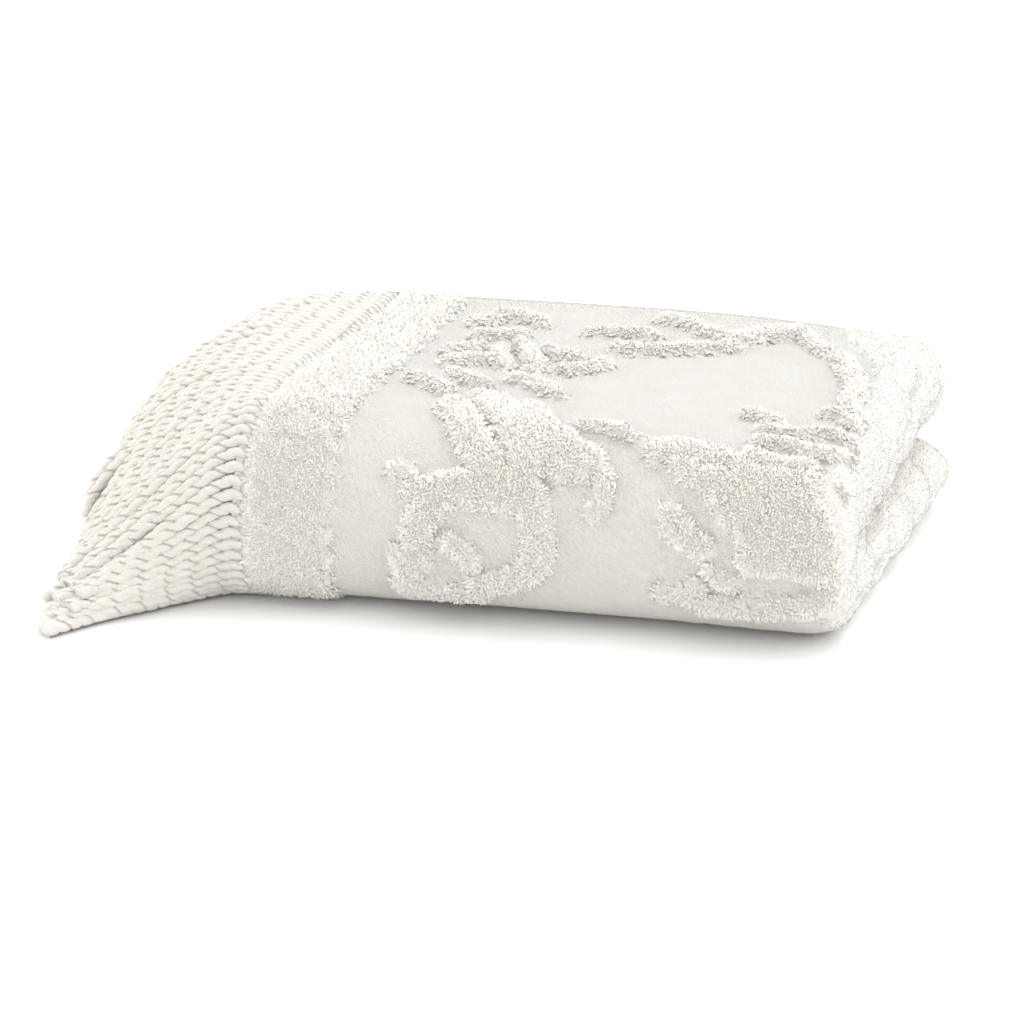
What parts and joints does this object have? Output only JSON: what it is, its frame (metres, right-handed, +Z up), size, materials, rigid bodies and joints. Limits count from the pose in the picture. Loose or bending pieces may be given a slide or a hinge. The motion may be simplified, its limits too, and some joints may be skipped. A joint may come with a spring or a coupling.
{
  "type": "fringed throw blanket",
  "caption": "Folded rectangular throw with tufted ornament and a fringe of twisted cords along both short ends.",
  "frame": {"origin": "on the under face, below the middle of the folded cloth", "axes": "+Z up from the surface it lies on, +X along the folded cloth away from the fringes, +Y away from the smooth front fold"},
  "size_m": [0.5488, 0.4174, 0.1264],
  "materials": {
    "throw": "matt warm white cotton, plain crinkled ground with raised tufted pile",
    "fringe": "matt warm white twisted cotton cord"
  },
  "bodies": {
    "root": {"throw": "throw", "outer_fringe": "fringe", "inner_fringe": "fringe"}
  },
  "joints": []
}
